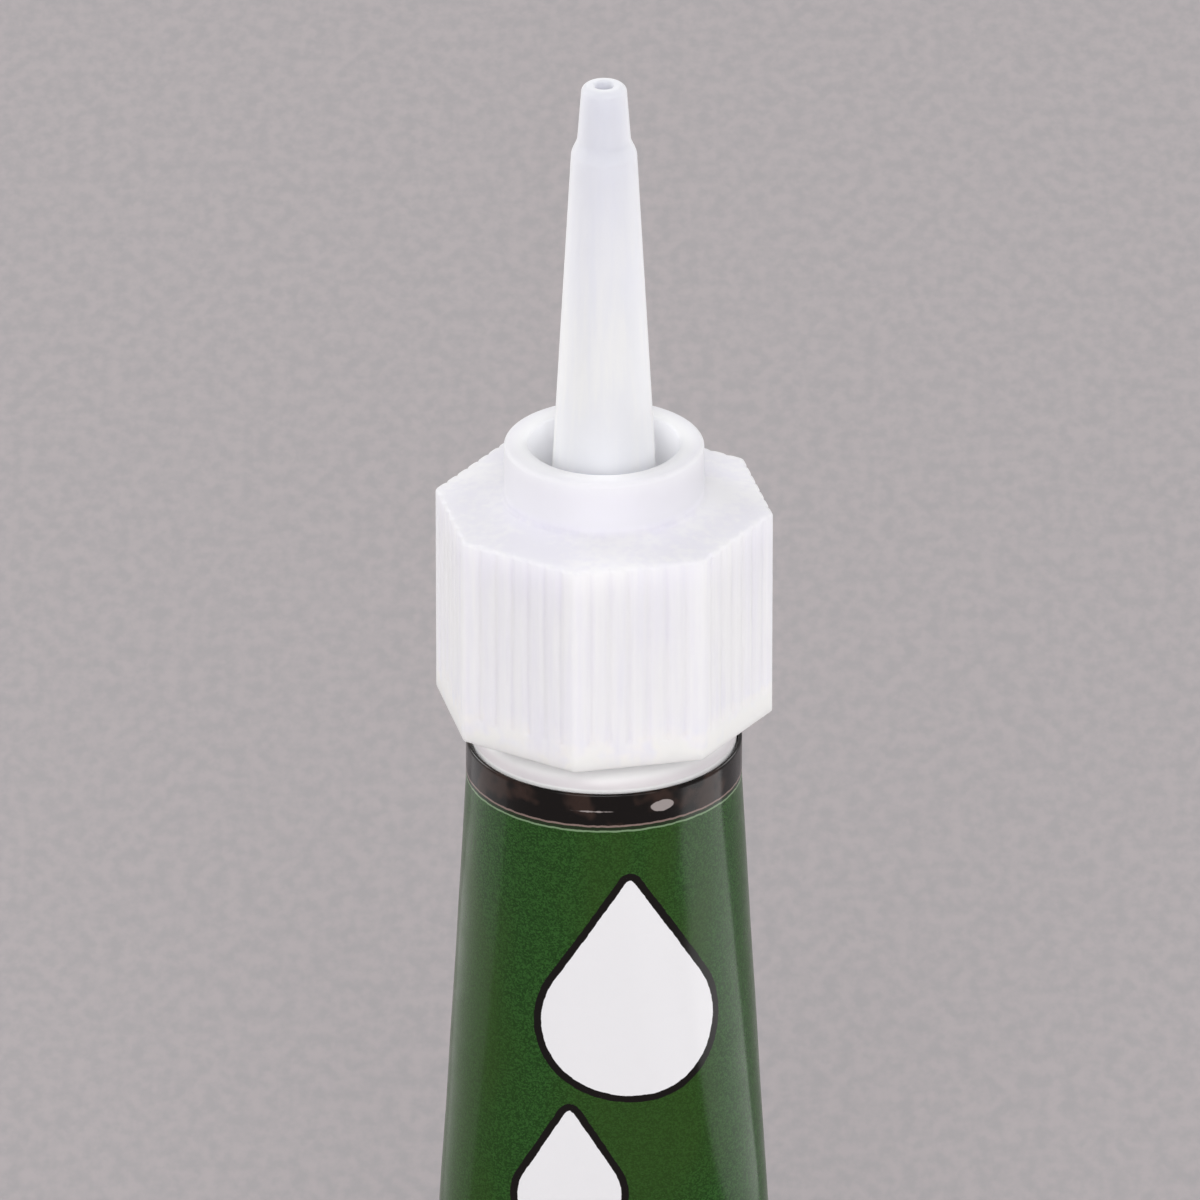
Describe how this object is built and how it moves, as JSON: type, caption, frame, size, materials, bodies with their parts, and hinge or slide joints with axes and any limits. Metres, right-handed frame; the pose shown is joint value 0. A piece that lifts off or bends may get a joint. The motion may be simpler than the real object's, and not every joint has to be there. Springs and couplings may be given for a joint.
{
  "type": "super glue tube",
  "caption": "Collapsible metal glue tube with a folded tail, threaded neck, octagonal ribbed screw collar with an open cap ring, and a long frosted nozzle with a stepped tip.",
  "frame": {"origin": "middle of the foot of the folded tail, on the tube's axis", "axes": "+Z along the tube's axis from the tail to the nozzle's tip, X along the width of the folded tail, Y through its thickness, -Y towards the picture's camera"},
  "size_m": [0.02, 0.0154, 0.0908],
  "materials": {
    "sleeve_enamel": "glossy green flake enamel with a black band at the shoulder, over thin aluminium",
    "head_plastic": "smooth white moulded plastic",
    "membrane_foil": "thin bright foil, pierced",
    "seal_latex": "dried latex",
    "glue_gel": "clear gel",
    "nozzle_plastic": "frosted translucent natural polyethylene",
    "collar_plastic": "frosted translucent natural polyethylene"
  },
  "bodies": {
    "tube": {"tube_sleeve": "sleeve_enamel", "tube_head": "head_plastic", "neck_membrane": "membrane_foil", "tail_sealant": "seal_latex", "glue_fill": "glue_gel"},
    "nozzle_body": {"nozzle": "nozzle_plastic"},
    "collar_body": {"collar": "collar_plastic"}
  },
  "joints": [
    {"name": "nozzle_lift", "type": "slide", "parent": "tube", "child": "nozzle_body", "axis": [0, 0, 1], "range_m": [0, 0.00562]},
    {"name": "collar_turn", "type": "hinge", "parent": "nozzle_body", "child": "collar_body", "pos_m": [0, 0, 0.06492], "axis": [0, 0, 1], "range_deg": [0, 1350]}
  ],
  "couplings": [
    {"joint": "collar_turn", "follows": "nozzle_lift", "rad_per_m": 4188.8}
  ]
}
